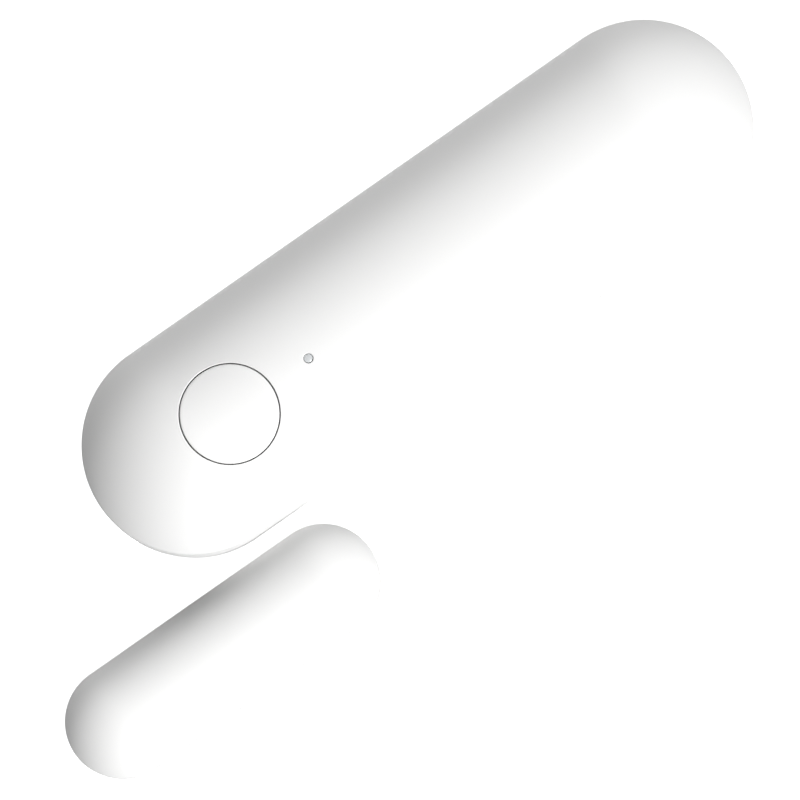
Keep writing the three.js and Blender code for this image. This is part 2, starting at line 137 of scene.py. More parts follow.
def smooth(thing, sharp_degrees):
    """Smooth shading with edges sharper than the angle kept crisp."""
    bm = bmesh.new()
    bm.from_mesh(thing.data)
    bmesh.ops.remove_doubles(bm, verts=bm.verts, dist=1e-8)
    bmesh.ops.recalc_face_normals(bm, faces=bm.faces)
    limit = math.radians(sharp_degrees)
    for edge in bm.edges:
        edge.smooth = len(edge.link_faces) == 2 and edge.calc_face_angle(0) < limit
    for face in bm.faces:
        face.smooth = True
    bm.to_mesh(thing.data)
    bm.free()


def circle(x, y, radius, z, steps=TURN_STEPS):
    """A closed loop of points about (x, y), anticlockwise; z is a number or a function of (x, y)."""
    points = []
    for i in range(steps):
        angle = 2 * math.pi * i / steps
        px, py = x + radius * math.cos(angle), y + radius * math.sin(angle)
        points.append((px, py, z(px, py) if callable(z) else z))
    return points


def turned(builder, profile, x, y, steps=TURN_STEPS):
    """A closed body turned about the Z axis at (x, y) from (radius, z) points, bottom to top."""
    rows = [circle(x, y, max(r, 1e-4), z, steps) for r, z in profile]
    loops = builder.rings(rows)
    builder.cap(loops[0], facing_up=False)
    builder.cap(loops[-1], facing_up=True)


def turned_along_x(builder, profile, y, z, steps=TURN_STEPS):
    """A closed body turned about a line along X from (radius, x) points, left to right."""
    rows = []
    for radius, x in profile:
        row = []
        for i in range(steps):
            angle = 2 * math.pi * i / steps
            r = max(radius, 1e-4)
            row.append((x, y + r * math.cos(angle), z + r * math.sin(angle)))
        rows.append(row)
    loops = builder.rings(rows)
    builder.cap(loops[0], facing_up=False)
    builder.cap(loops[-1], facing_up=True)


# ---- round-ended outlines ----


def outline_stations(extra_angles=()):
    """Places round a round-ended outline, anticlockwise, as (along, cos, sin).

    A ring of half-width r and half-span s has the points (along * s + r * cos, r * sin).
    """
    quarter = math.pi / 2
    right = [-quarter + math.pi * i / ARC_STEPS for i in range(ARC_STEPS + 1)]
    left = [quarter + math.pi * i / ARC_STEPS for i in range(ARC_STEPS + 1)]
    left = sorted(left + [math.pi + a for a in extra_angles])
    stations = [(1.0, math.cos(a), math.sin(a)) for a in right]
    stations += [(1 - 2 * i / SIDE_STEPS, 0.0, 1.0) for i in range(1, SIDE_STEPS)]
    stations += [(-1.0, math.cos(a), math.sin(a)) for a in left]
    stations += [(-1 + 2 * i / SIDE_STEPS, 0.0, -1.0) for i in range(1, SIDE_STEPS)]
    return stations


def outline_ring(centre, half_span, radius, z, stations):
    cx, cy = centre
    return [(cx + a * half_span + radius * c, cy + radius * s, z) for a, c, s in stations]


def outline_body(builder, centre, half_span, profile):
    """A closed body swept round the outline from (radius, z) points, bottom to top, capped flat."""
    stations = outline_stations()
    loops = builder.rings([outline_ring(centre, half_span, r, z, stations) for r, z in profile])
    builder.cap(loops[0], facing_up=False)
    builder.cap(loops[-1], facing_up=True)


def inside(x, y, loop):
    """True if the point is within the closed loop of (x, y) points."""
    odd = False
    for (ax, ay), (bx, by) in zip(loop, loop[1:] + loop[:1]):
        if (ay > y) != (by > y) and x < ax + (y - ay) * (bx - ax) / (by - ay):
            odd = not odd
    return odd


def flat_face(builder, outline, holes, z, facing_up):
    """A flat face with holes, as triangles, between closed loops of (x, y) points."""
    points, edges = [], []
    for loop in [outline, *holes]:
        start = len(points)
        edges += [(start + i, start + (i + 1) % len(loop)) for i in range(len(loop))]
        points += loop
    verts, _, faces, _, _, _ = delaunay_2d_cdt([Vector(p) for p in points], edges, [], 0, 1e-6)
    numbers = builder.add([(v.x, v.y, z) for v in verts])
    for face in faces:
        x = sum(verts[i].x for i in face) / 3
        y = sum(verts[i].y for i in face) / 3
        if inside(x, y, outline) and not any(inside(x, y, hole) for hole in holes):
            corners = [numbers[i] for i in face]
            builder.faces.append(tuple(corners if facing_up else reversed(corners)))


def walls(builder, loop, z0, z1):
    builder.rings([[(x, y, z) for x, y in loop] for z in (z0, z1)])


def plate(builder, outline, z0, z1, holes=(), wells=()):
    """A flat piece with through holes, and wells given as (loop, floor height)."""
    through = list(holes)
    sunk = [loop for loop, _ in wells]
    flat_face(builder, outline, through, z0, facing_up=False)
    flat_face(builder, outline, through + sunk, z1, facing_up=True)
    for loop in [outline, *through]:
        walls(builder, loop, z0, z1)
    for loop, floor_z in wells:
        walls(builder, loop, floor_z, z1)
        flat_face(builder, loop, [], floor_z, facing_up=True)


def flat_circle(x, y, radius, steps=48):
    return [(px, py) for px, py, _ in circle(x, y, radius, 0, steps)]


def rectangle(low, high, corner, steps=5):
    """A closed loop round a rectangle with rounded corners, anticlockwise."""
    loop = []
    middles = (
        (high[0] - corner, low[1] + corner),
        (high[0] - corner, high[1] - corner),
        (low[0] + corner, high[1] - corner),
        (low[0] + corner, low[1] + corner),
    )
    for turn, (x, y) in enumerate(middles):
        for i in range(steps + 1):
            angle = math.pi / 2 * (turn - 1 + i / steps)
            loop.append((x + corner * math.cos(angle), y + corner * math.sin(angle)))
    return loop


def soft_block(builder, low, high, edge=0.06, corner=0.1):
    """A block with rounded upright corners and rounded top and bottom edges."""
    rows = []
    steps = 3
    for i in range(steps + 1):
        angle = math.pi / 2 * i / steps
        rows.append((edge * (1 - math.sin(angle)), low[2] + edge * (1 - math.cos(angle))))
    for i in range(steps + 1):
        angle = math.pi / 2 * i / steps
        rows.append((edge * (1 - math.cos(angle)), high[2] - edge * (1 - math.sin(angle))))
    loops = []
    for inset, z in rows:
        near = (low[0] + inset, low[1] + inset)
        far = (high[0] - inset, high[1] - inset)
        ring = rectangle(near, far, max(corner - inset, 0.01))
        loops.append([(x, y, z) for x, y in ring])
    numbers = builder.rings(loops)
    builder.cap(numbers[0], facing_up=False)
    builder.cap(numbers[-1], facing_up=True)


def wire(builder, path, y, radius, steps=20):
    """A round wire along a path of (x, z) points that stays in one plane across Y."""
    rows = []
    for i, (x, z) in enumerate(path):
        before, after = path[max(i - 1, 0)], path[min(i + 1, len(path) - 1)]
        along = Vector((after[0] - before[0], after[1] - before[1])).normalized()
        row = []
        for k in range(steps):
            angle = 2 * math.pi * k / steps
            aside = radius * math.sin(angle)
            row.append((x - along.y * aside, y + radius * math.cos(angle), z + along.x * aside))
        rows.append(row)
    loops = builder.rings(rows)
    builder.cap(loops[0], facing_up=False)
    builder.cap(loops[-1], facing_up=True)


class Dome:
    """The face of a round-ended housing, or its inside when inset by the wall.

    Every level of the face is a round-ended outline of half-width r. Across the width the face is
    a circular arc that meets the wall in a small round; its spine is shorter than the sides.
    """

    def __init__(self, node, shape, inset=0.0):
        low, high = box_mm(node)
        outer = (high[1] - low[1]) / 2
        self.centre = ((low[0] + high[0]) / 2, (low[1] + high[1]) / 2)
        self.half_span = (high[0] - low[0]) / 2 - outer
        self.radius = outer - inset
        self.top = high[2] - inset
        self.bottom = low[2]
        self.crown = shape["crown"] - inset
        self.edge = max(shape["edge"] - inset, 0.2)
        self.spine_inset = shape["spine_inset"]
        self.crown_start = (self.radius - self.edge) * self.crown / (self.crown - self.edge)
        self.tilt = math.asin(self.crown_start / self.crown)
        self.wall_top = self.crown_z(self.crown_start) - self.edge * math.cos(self.tilt)

    def crown_z(self, r):
        return self.top - self.crown + math.sqrt(self.crown ** 2 - r * r)

    def spine(self, r):
        return self.half_span - self.spine_inset * (1 - r / self.radius)

    def level(self, x, y):
        """The half-width of the level that passes through a point."""
        slope = self.spine_inset / self.radius
        short_span = self.half_span - self.spine_inset
        across = abs(y - self.centre[1])
        beyond = abs(x - self.centre[0]) - short_span
        if beyond <= slope * across:
            return across
        square = 1 - slope ** 2
        root = math.sqrt((beyond * slope) ** 2 + square * (beyond ** 2 + across ** 2))
        return (root - beyond * slope) / square

    def z(self, x, y):
        return self.crown_z(self.level(x, y))

    def rings(self):
        """(half-width, height) of the levels, from the wall's top to the spine."""
        levels = []
        round_steps = 8
        for i in range(round_steps + 1):
            angle = (math.pi / 2 - self.tilt) * i / round_steps
            levels.append((
                self.radius - self.edge + self.edge * math.cos(angle),
                self.wall_top + self.edge * math.sin(angle),
            ))
        steps = math.ceil(self.crown * self.tilt / FIELD_SPACING_MM)
        for i in range(1, steps + 1):
            r = self.crown * math.sin(self.tilt * (1 - i / steps))
            levels.append((r, self.crown_z(r)))
        return levels


def field_ring(dome, r, z):
    """Evenly spaced points on one level of the crown."""
    span = dome.spine(r)
    cx, cy = dome.centre
    side = max(2, round(2 * span / (2 * FIELD_SPACING_MM)))
    if r < FIELD_SPACING_MM / 2:
        return [(cx - span + 2 * span * i / side, cy, z) for i in range(side + 1)]
    arc = max(6, round(math.pi * r / FIELD_SPACING_MM))
    points = []
    for sign in (1, -1):
        for i in range(arc + 1):
            angle = -math.pi / 2 + math.pi * i / arc
            points.append((cx + sign * (span + r * math.cos(angle)), cy + sign * r * math.sin(angle), z))
        for i in range(1, side):
            points.append((cx + sign * span * (1 - 2 * i / side), cy + sign * r, z))
    return points


def hole_rings(dome, hole):
    """Loops of points round a hole: its rounded lip, then rings that thin out into the field."""
    loops = []
    lip = hole["lip"]
    steps = 5 if lip else 0
    for i in range(steps + 1):
        angle = math.pi / 2 * i / steps if lip else math.pi / 2
        reach = hole["radius"] + lip * (1 - math.cos(angle)) if lip else hole["radius"]
        drop = lip * (1 - math.sin(angle))
        height = lambda x, y, drop=drop: dome.z(x, y) - drop
        loops.append(circle(hole["x"], hole["y"], reach, height, hole["steps"]))
    for step in (0.12, 0.3, 0.55):
        reach = hole["radius"] + lip + step
        loops.append(circle(hole["x"], hole["y"], reach, dome.z, hole["steps"]))
    return loops


def face_field(builder, dome, stations, holes=(), facing_up=True):
    """The crowned face as one sheet of triangles. Returns its outer loop and each hole's loop."""
    levels = dome.rings()
    rim = outline_ring(dome.centre, dome.spine(levels[0][0]), levels[0][0], levels[0][1], stations)
    points = list(rim)
    edges = [(i, (i + 1) % len(rim)) for i in range(len(rim))]
    hole_starts = []
    for hole in holes:
        loops = hole_rings(dome, hole)
        hole_starts.append(len(points))
        count = hole["steps"]
        edges += [(len(points) + i, len(points) + (i + 1) % count) for i in range(count)]
        for loop in loops:
            points += loop
    for r, z in levels[1:]:
        in_round = r > dome.crown_start - 1e-6
        if in_round:
            ring = outline_ring(dome.centre, dome.spine(r), r, z, stations)
        else:
            ring = field_ring(dome, r, z)
        for point in ring:
            clear = all(
                math.hypot(point[0] - h["x"], point[1] - h["y"]) > h["radius"] + h["lip"] + 0.8
                for h in holes
            )
            if clear:
                points.append(point)
    flat = [Vector((x, y)) for x, y, _ in points]
    verts, _, faces, sources, _, _ = delaunay_2d_cdt(flat, edges, [], 0, 1e-5)
    numbers = {}
    placed = []
    for made, origin in enumerate(sources):
        x, y, z = points[origin[0]]
        placed.append((x, y, z))
        for source in origin:
            numbers[source] = made
    start = builder.add(placed)[0]
    outer_loop = [start + numbers[i] for i in range(len(rim))]
    hole_loops = []
    for hole, first in zip(holes, hole_starts):
        hole_loops.append([start + numbers[first + i] for i in range(hole["steps"])])
    on_holes = [set(loop) for loop in hole_loops]
    for face in faces:
        corners = [start + i for i in face]
        if any(on_hole.issuperset(corners) for on_hole in on_holes):
            continue
        builder.faces.append(tuple(corners if facing_up else reversed(corners)))
    return outer_loop, hole_loops


def recess_depth(dome, angle_from_tip, z):
    """How far the pry recess is sunk at a place on the wall, with softened edges."""
    soft = RECESS_SOFTNESS_MM
    aside = (RECESS_HALF_ANGLE - abs(angle_from_tip)) * dome.radius / soft
    above = (dome.bottom + RECESS_HEIGHT_MM - z) / soft
    share = min(max(min(aside, above), 0.0), 1.0)
    return RECESS_DEPTH_MM * share * share * (3 - 2 * share)


def housing_shell(node, shape, holes=(), recess=False):
    """A hollow housing, open at the back: face, wall, bottom edge and inside as one closed mesh."""
    outside = Dome(node, shape)
    inside = Dome(node, shape, inset=shape["wall"])
    edge_angles = []
    if recess:
        step = RECESS_SOFTNESS_MM / outside.radius / 3
        for sign in (1, -1):
            edge_angles += [sign * (RECESS_HALF_ANGLE - step * i) for i in (-0.4, 0, 1, 2, 3, 3.4)]
    stations = outline_stations(edge_angles)
    builder = Builder()

    def wall_ring(inset, z):
        ring = []
        for along, c, s in stations:
            sunk = inset
            if recess and along == -1.0 and c < 0:
                sunk += recess_depth(outside, math.asin(s), z)
            r = outside.radius - sunk
            x = outside.centre[0] + along * outside.half_span + r * c
            ring.append((x, outside.centre[1] + r * s, z))
        return ring

    face_loop, hole_loops = face_field(builder, outside, stations, holes)
    inner_holes = [{**hole, "lip": 0.0} for hole in holes]
    roof_loop, inner_loops = face_field(builder, inside, stations, inner_holes, facing_up=False)
    for outer, inner in zip(hole_loops, inner_loops):
        builder.bridge(outer, inner)

    heights = [outside.wall_top - 0.6, (outside.wall_top + outside.bottom) / 2]
    if recess:
        recess_top = outside.bottom + RECESS_HEIGHT_MM
        heights += [recess_top + 0.1]
        heights += [recess_top - RECESS_SOFTNESS_MM * i / 3 for i in range(4)]
        heights += [recess_top - RECESS_SOFTNESS_MM - 0.1]
    heights += [outside.bottom + 1.0]
    rows = [(0.0, z) for z in heights]
    for i in range(5):
        angle = math.pi / 2 * i / 4
        inset = BOTTOM_ROUND_MM * (1 - math.cos(angle))
        rows.append((inset, outside.bottom + BOTTOM_ROUND_MM * (1 - math.sin(angle))))
    loop = face_loop
    for inset, z in rows:
        lower = builder.add(wall_ring(inset, z))
        builder.bridge(lower, loop)
        loop = lower
    chamfer = 0.1
    for inset, z in (
        (shape["wall"] - chamfer, outside.bottom),
        (shape["wall"], outside.bottom + chamfer),
        (shape["wall"], inside.wall_top - 1.0),
    ):
        ring = outline_ring(outside.centre, outside.half_span, outside.radius - inset, z, stations)
        lower = builder.add(ring)
        builder.bridge(lower, loop)
        loop = lower
    builder.bridge(roof_loop, loop)
    return builder


# ---- the pieces ----


def placed(builder, name, body, slot, *stands_for, sharp_degrees=35):
    """Makes the object, ties it to its body, and hides the CAD nodes it stands for."""
    made = builder.object(name, sharp_degrees)
    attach(made, body)
    if stands_for:
        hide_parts(*stands_for)
    return made


def sensor_cover():
    button = centre_mm("button_cap")
    light = centre_mm("light_pipe")
    cap_low, cap_high = box_mm("button_cap")
    flange_radius = (cap_high[0] - cap_low[0]) / 2
    holes = [
        {"x": button[0], "y": button[1], "radius": BUTTON_HOLE_RADIUS_MM, "lip": HOLE_LIP_MM, "steps": 128},
        {"x": light[0], "y": light[1], "radius": 0.5, "lip": LIGHT_LIP_MM, "steps": 32},
    ]
    builder = housing_shell("sensor_cover", SENSOR_SHAPE, holes, recess=True)
    roof = Dome("sensor_cover", SENSOR_SHAPE, inset=SENSOR_SHAPE["wall"])
    low, inner, outer = GUIDE_BOTTOM_MM, flange_radius + 0.2, flange_radius + 1.0

    def ring_top(px, py):
        return roof.z(px, py) + 0.2

    section = [(inner, ring_top), (inner, low + 0.1), (inner + 0.1, low),
               (outer - 0.1, low), (outer, low + 0.1), (outer, ring_top)]
    loops = builder.rings([circle(button[0], button[1], r, z) for r, z in section])
    builder.bridge(loops[-1], loops[0])
    return placed(builder, "sensor_cover_shell", "cover", "white_shell", "sensor_cover")


def magnet_cover():
    builder = housing_shell("magnet_cover", MAGNET_SHAPE)
    return placed(builder, "magnet_cover_shell", "magnet_unit", "white_shell", "magnet_cover")


def button_cap():
    """The push button: a stem and flange below, and a face that follows the cover's crown."""
    low, high = box_mm("button_cap")
    x, y = centre_mm("button_cap")[:2]
    crown = Dome("sensor_cover", SENSOR_SHAPE)
    flange = (high[0] - low[0]) / 2
    radius = BUTTON_RADIUS_MM
    rim = 0.15
    edge = radius - rim
    flange_low = BUTTON_FLANGE_TOP_MM - 0.7
    skirt = radius - 1.0
    roof = crown.z(x, skirt) - 1.2

    def face(below=0.0):
        return lambda px, py: crown.z(px, py) - BUTTON_FACE_DROP_MM - below

    profile = [(0, low[2]), (1.2, low[2]), (1.3, low[2] + 0.1), (1.3, roof), (skirt, roof),
               (skirt, flange_low + 0.05), (skirt + 0.05, flange_low), (flange - 0.1, flange_low),
               (flange, flange_low + 0.1), (flange, BUTTON_FLANGE_TOP_MM - 0.1),
               (flange - 0.1, BUTTON_FLANGE_TOP_MM), (radius, BUTTON_FLANGE_TOP_MM)]
    rim_steps = 6
    for i in range(rim_steps + 1):
        angle = math.pi / 2 * i / rim_steps
        profile.append((edge + rim * math.cos(angle), face(rim * (1 - math.sin(angle)))))
    face_steps = 20
    for i in range(1, face_steps + 1):
        profile.append((edge * (1 - i / face_steps), face()))
    builder = Builder()
    turned(builder, profile, x, y)
    return placed(builder, "button_moulding", "button", "white_button", "button_cap")


def light_lens():
    low, high = box_mm("light_pipe")
    x, y = centre_mm("light_pipe")[:2]
    flange = (high[0] - low[0]) / 2
    flange_top = box_mm("sensor_cover")[1][2] - SENSOR_SHAPE["wall"] - 0.1
    lens = 0.46
    profile = [(0, low[2]), (flange - 0.1, low[2]), (flange, low[2] + 0.1), (flange, flange_top - 0.1),
               (flange - 0.1, flange_top), (lens, flange_top)]
    steps = 6
    for i in range(steps + 1):
        angle = math.pi / 2 * i / steps
        profile.append((lens * math.cos(angle), high[2] - 0.2 + 0.15 * math.sin(angle)))
    builder = Builder()
    turned(builder, profile, x, y, 48)
    return placed(builder, "light_lens", "cover", "clear_plastic", "light_pipe")


def back_plate(node, body, shape, rim_width, name):
    """A back plate with softened edges and the raised rim that the cover fits over."""
    low, high = box_mm(node)
    radius = (high[1] - low[1]) / 2
    half_span = (high[0] - low[0]) / 2 - radius
    plate_top = low[2] + 1.2
    rim_outer = radius - shape["wall"]
    rim_inner = rim_outer - rim_width
    edge = 0.2
    profile = [(radius - edge, low[2]), (radius - 0.06, low[2] + 0.06), (radius, low[2] + edge),
               (radius, plate_top - 0.1), (radius - 0.1, plate_top), (rim_outer, plate_top),
               (rim_outer, high[2] - edge), (rim_outer - 0.06, high[2] - 0.06),
               (rim_outer - edge, high[2]), (rim_inner + 0.08, high[2]),
               (rim_inner, high[2] - 0.08), (rim_inner, plate_top)]
    builder = Builder()
    outline_body(builder, centre_mm(node)[:2], half_span, profile)
    return placed(builder, name, body, "inner_plastic", node)


def adhesive_pad(node, body, name):
    """A die-cut foam pad whose cut edge bulges a little between its two skins."""
    low, high = box_mm(node)
    radius = (high[1] - low[1]) / 2
    half_span = (high[0] - low[0]) / 2 - radius
    bulge = 0.1
    steps = 8
    profile = [(radius - bulge - 0.03, low[2])]
    for i in range(steps + 1):
        share = i / steps
        reach = radius - bulge * (1 - math.sin(math.pi * share))
        profile.append((reach, low[2] + 0.03 + (high[2] - low[2] - 0.06) * share))
    profile.append((radius - bulge - 0.03, high[2]))
    builder = Builder()
    outline_body(builder, centre_mm(node)[:2], half_span, profile)
    made = placed(builder, name, body, "foam_tape", node)
    return made


def board_outline(inset=0.0):
    """The board's round end and square end, as a closed loop."""
    low, high = box_mm("circuit_board")
    radius = (high[1] - low[1]) / 2 - inset
    x = low[0] + radius + inset
    steps = 64
    arc = [math.pi / 2 + math.pi * i / steps for i in range(steps + 1)]
    loop = [(x + radius * math.cos(a), radius * math.sin(a)) for a in arc]
    return loop + [(high[0] - inset, -radius), (high[0] - inset, radius)]


def screw_places():
    return [centre_mm("board_screw_1")[:2], centre_mm("board_screw_2")[:2]]


def board():
    low, high = box_mm("circuit_board")
    holes = [flat_circle(x, y, SCREW_HOLE_RADIUS_MM) for x, y in screw_places()]
    builder = Builder()
    plate(builder, board_outline(), low[2], high[2], holes)
    return placed(builder, "board_laminate", "sensor_base", "board_green", "circuit_board")


def board_tracks():
    """Raised copper tracks under the solder mask, joining the parts' pads."""
    top = box_mm("circuit_board")[1][2]
    chip, switch = centre_mm("radio_ic"), centre_mm("tact_switch_body")
    crystal_at, antenna = centre_mm("crystal"), centre_mm("chip_antenna")
    light, first = centre_mm("indicator_led"), centre_mm("capacitor_1")
    reed = centre_mm("reed_switch_glass")
    runs = []
    for i in range(-2, 3):
        y = chip[1] + 0.8 * i
        runs.append([(chip[0] + 2.6, y), (chip[0] + 3.6 + 0.15 * i, y), (switch[0] - 2.6, 0.75 * i)])
    for i in (-1, 1):
        runs.append([(chip[0] + 0.8 * i, chip[1] - 2.6), (crystal_at[0] + 0.8 * i, crystal_at[1] + 1.1)])
    runs.append([(chip[0] - 2.6, chip[1]), (antenna[0] + 1.4, chip[1]), (antenna[0] + 0.5, 2.4)])
    runs.append([(switch[0] + 2.6, 0.0), (light[0] - 1.6, 0.0), (light[0], -0.8)])
    runs.append([(switch[0] + 2.6, 1.4), (first[0] - 1.6, first[1]), (first[0] - 0.9, first[1])])
    for side in (-1, 1):
        runs.append([(reed[0] + side * 5.6, reed[1] + 0.5), (reed[0] + side * 4.4, -4.6),
                     (switch[0] + side * 1.8, -2.6)])
    builder = Builder()
    for run in runs:
        for start, end in zip(run, run[1:]):
            track(builder, start, end, top)
    return placed(builder, "board_tracks", "sensor_base", "board_green")


def track(builder, start, end, top, width=0.26, height=0.03):
    """One straight, round-ended length of track."""
    along = Vector((end[0] - start[0], end[1] - start[1]))
    heading = math.atan2(along.y, along.x)
    loop = []
    steps = 6
    for (x, y), turn in ((end, -math.pi / 2), (start, math.pi / 2)):
        for i in range(steps + 1):
            angle = heading + turn + math.pi * i / steps
            loop.append((x + width / 2 * math.cos(angle), y + width / 2 * math.sin(angle)))
    rows = [[(x, y, z) for x, y in loop] for z in (top - 0.02, top + height)]
    numbers = builder.rings(rows)
    builder.cap(numbers[0], facing_up=False)
    builder.cap(numbers[-1], facing_up=True)


def end_pads(builder, node, axis, reach=0.35, spread=0.1):
    """A pair of soldered pads under the two ends of a part, along one axis."""
    low, high = box_mm(node)
    top = box_mm("circuit_board")[1][2]
    for end in (low, high):
        near, far = [low[0] - spread, low[1] - spread], [high[0] + spread, high[1] + spread]
        near[axis], far[axis] = end[axis] - reach, end[axis] + reach
        soft_block(builder, (*near, top - 0.01), (*far, top + 0.045), edge=0.015)


def solder_pads():
    builder = Builder()
    for node, axis in (("capacitor_1", 0), ("capacitor_2", 0), ("indicator_led", 1), ("chip_antenna", 1)):
        end_pads(builder, node, axis)
    end_pads(builder, "crystal", 0, reach=0.3, spread=0.0)
    top = box_mm("circuit_board")[1][2]
    for lead, side in (("reed_lead_inner", 1), ("reed_lead_outer", -1)):
        low, high = box_mm(lead)
        foot = (high[0] if side > 0 else low[0]) - side * LEAD_RADIUS_MM
        reed_y = centre_mm(lead)[1]
        fillet = [(0, top - 0.01), (0.7, top - 0.01), (0.68, top + 0.03), (0.42, top + 0.12),
                  (LEAD_RADIUS_MM + 0.02, top + 0.42), (0, top + 0.42)]
        turned(builder, fillet, foot, reed_y, 32)
    return placed(builder, "solder_pads", "sensor_base", "nickel")


def chip():
    low, high = box_mm("radio_ic")
    mark = flat_circle(low[0] + 0.7, high[1] - 0.7, 0.25, 24)
    builder = Builder()
    soft_block(builder, low, (high[0], high[1], high[2] - 0.1), edge=0.04)
    face = rectangle((low[0] + 0.03, low[1] + 0.03), (high[0] - 0.03, high[1] - 0.03), 0.1)
    plate(builder, face, high[2] - 0.12, high[2], wells=[(mark, high[2] - 0.06)])
    return placed(builder, "radio_chip", "sensor_base", "black_plastic", "radio_ic")


def chip_lands():
    """The plated contacts round the foot of the radio chip."""
    low, high = box_mm("radio_ic")
    middle = centre_mm("radio_ic")
    builder = Builder()
    for i in range(-4, 5):
        offset = 0.5 * i
        for side in (-1, 1):
            x, y = middle[0] + side * (high[0] - low[0]) / 2, middle[1] + offset
            under, over = low[2] - 0.04, low[2] + 0.2
            soft_block(builder, (x - 0.18, y - 0.12, under), (x + 0.18, y + 0.12, over), 0.03)
            x, y = middle[0] + offset, middle[1] + side * (high[1] - low[1]) / 2
            soft_block(builder, (x - 0.12, y - 0.18, under), (x + 0.12, y + 0.18, over), 0.03)
    return placed(builder, "radio_chip_lands", "sensor_base", "nickel")


def capped_part(node, axis, cap_length, body_name, cap_name, body_slot, edge=0.07):
    """A small board part: a body with a plated cap wrapped round each end along one axis."""
    low, high = box_mm(node)
    body = Builder()
    near, far = list(low), list(high)
    for i in range(3):
        near[i] += 0.03
        far[i] -= 0.03
    soft_block(body, near, far, edge)
    caps = Builder()
    first_far, second_near = list(high), list(low)
    first_far[axis] = low[axis] + cap_length
    second_near[axis] = high[axis] - cap_length
    soft_block(caps, low, first_far, edge)
    soft_block(caps, second_near, high, edge)
    made = placed(body, body_name, "sensor_base", body_slot, node)
    return made, placed(caps, cap_name, "sensor_base", "nickel")


def crystal_can():
    low, high = box_mm("crystal")
    lip = low[2] + 0.25
    builder = Builder()
    soft_block(builder, low, (high[0], high[1], lip), edge=0.05, corner=0.2)
    foot = (low[0] + 0.12, low[1] + 0.12, lip - 0.08)
    head = (high[0] - 0.12, high[1] - 0.12, high[2])
    soft_block(builder, foot, head, edge=0.12, corner=0.3)
    return placed(builder, "crystal_can", "sensor_base", "nickel", "crystal")


def light_dome():
    """The clear dome moulded over the indicator's die."""
    low, high = box_mm("indicator_led")
    builder = Builder()
    near = (low[0] + 0.08, low[1] + 0.4, low[2] + 0.3)
    far = (high[0] - 0.08, high[1] - 0.4, high[2] + 0.12)
    soft_block(builder, near, far, edge=0.1, corner=0.15)
    return placed(builder, "indicator_dome", "sensor_base", "clear_plastic")


def switch_housing():
    low, high = box_mm("tact_switch_body")
    x, y = centre_mm("tact_switch_body")[:2]
    well = flat_circle(x, y, PLUNGER_WELL_RADIUS_MM)
    builder = Builder()
    outline = rectangle(low, high, 0.25)
    plate(builder, outline, low[2], high[2] - 0.15, wells=[(well, low[2] + 0.1)])
    return placed(builder, "switch_housing", "sensor_base", "black_plastic", "tact_switch_body")


def switch_frame():
    """The steel top of the switch, its rivet heads and its four legs."""
    low, high = box_mm("tact_switch_body")
    x, y = centre_mm("tact_switch_body")[:2]
    builder = Builder()
    opening = flat_circle(x, y, PLUNGER_WELL_RADIUS_MM)
    plate(builder, rectangle((low[0] + 0.1, low[1] + 0.1), (high[0] - 0.1, high[1] - 0.1), 0.3),
          high[2] - 0.15, high[2], [opening])
    for side_x in (-1, 1):
        for side_y in (-1, 1):
            post_x, post_y = x + side_x * 1.7, y + side_y * 1.7
            turned(builder, [(0, high[2] - 0.1), (0.32, high[2] - 0.1), (0.32, high[2] + 0.04),
                             (0.24, high[2] + 0.1), (0, high[2] + 0.12)], post_x, post_y, 24)
            near = min(side_x * 2.1, side_x * 2.9)
            soft_block(builder, (x + near, post_y - 0.35, low[2] - 0.04),
                       (x + near + 0.8, post_y + 0.35, low[2] + 0.16), edge=0.04)
    return placed(builder, "switch_frame", "sensor_base", "nickel")


def switch_plunger():
    low, high = box_mm("tact_switch_plunger")
    x, y = centre_mm("tact_switch_plunger")[:2]
    radius = (high[0] - low[0]) / 2
    profile = [(0, low[2]), (radius - 0.05, low[2]), (radius, low[2] + 0.05), (radius, high[2] - 0.15),
               (radius - 0.05, high[2] - 0.05), (radius - 0.17, high[2]), (0, high[2])]
    builder = Builder()
    turned(builder, profile, x, y, 48)
    return placed(builder, "switch_plunger", "plunger", "component_white", "tact_switch_plunger")


def cross_loop(x, y, arm=0.85, half=0.18):
    loop = []
    for quarter in range(4):
        angle = math.pi / 2 * quarter
        c, s = math.cos(angle), math.sin(angle)
        for px, py in ((arm, -half), (arm, half), (half, half)):
            loop.append((x + px * c - py * s, y + px * s + py * c))
    return loop


def screw(number):
    """A pan-head screw with a cross recess and a lightly threaded shank."""
    node = f"board_screw_{number}"
    low, high = box_mm(node)
    x, y = centre_mm(node)[:2]
    head_bottom = high[2] - 0.9
    shank = 0.75
    profile = [(0, low[2]), (0.3, low[2]), (shank, low[2] + 0.5)]
    pitch = 0.5
    turns = int((head_bottom - low[2] - 0.8) / pitch)
    for i in range(turns):
        z = low[2] + 0.6 + pitch * i
        profile += [(shank, z), (shank - 0.1, z + pitch / 2)]
    profile += [(shank, head_bottom), (1.42, head_bottom), (1.5, head_bottom + 0.08), (1.5, high[2] - 0.35),
                (1.45, high[2] - 0.18), (1.34, high[2] - 0.06), (1.2, high[2])]
    steps = 64
    builder = Builder()
    loops = builder.rings([circle(x, y, max(r, 1e-4), z, steps) for r, z in profile])
    builder.cap(loops[0], facing_up=False)
    slot_loop = cross_loop(x, y)
    flat_face(builder, flat_circle(x, y, 1.2, steps), [slot_loop], high[2], facing_up=True)
    walls(builder, slot_loop, high[2] - 0.5, high[2])
    flat_face(builder, slot_loop, [], high[2] - 0.5, facing_up=True)
    return placed(builder, f"pan_screw_{number}", "sensor_base", "steel", node)


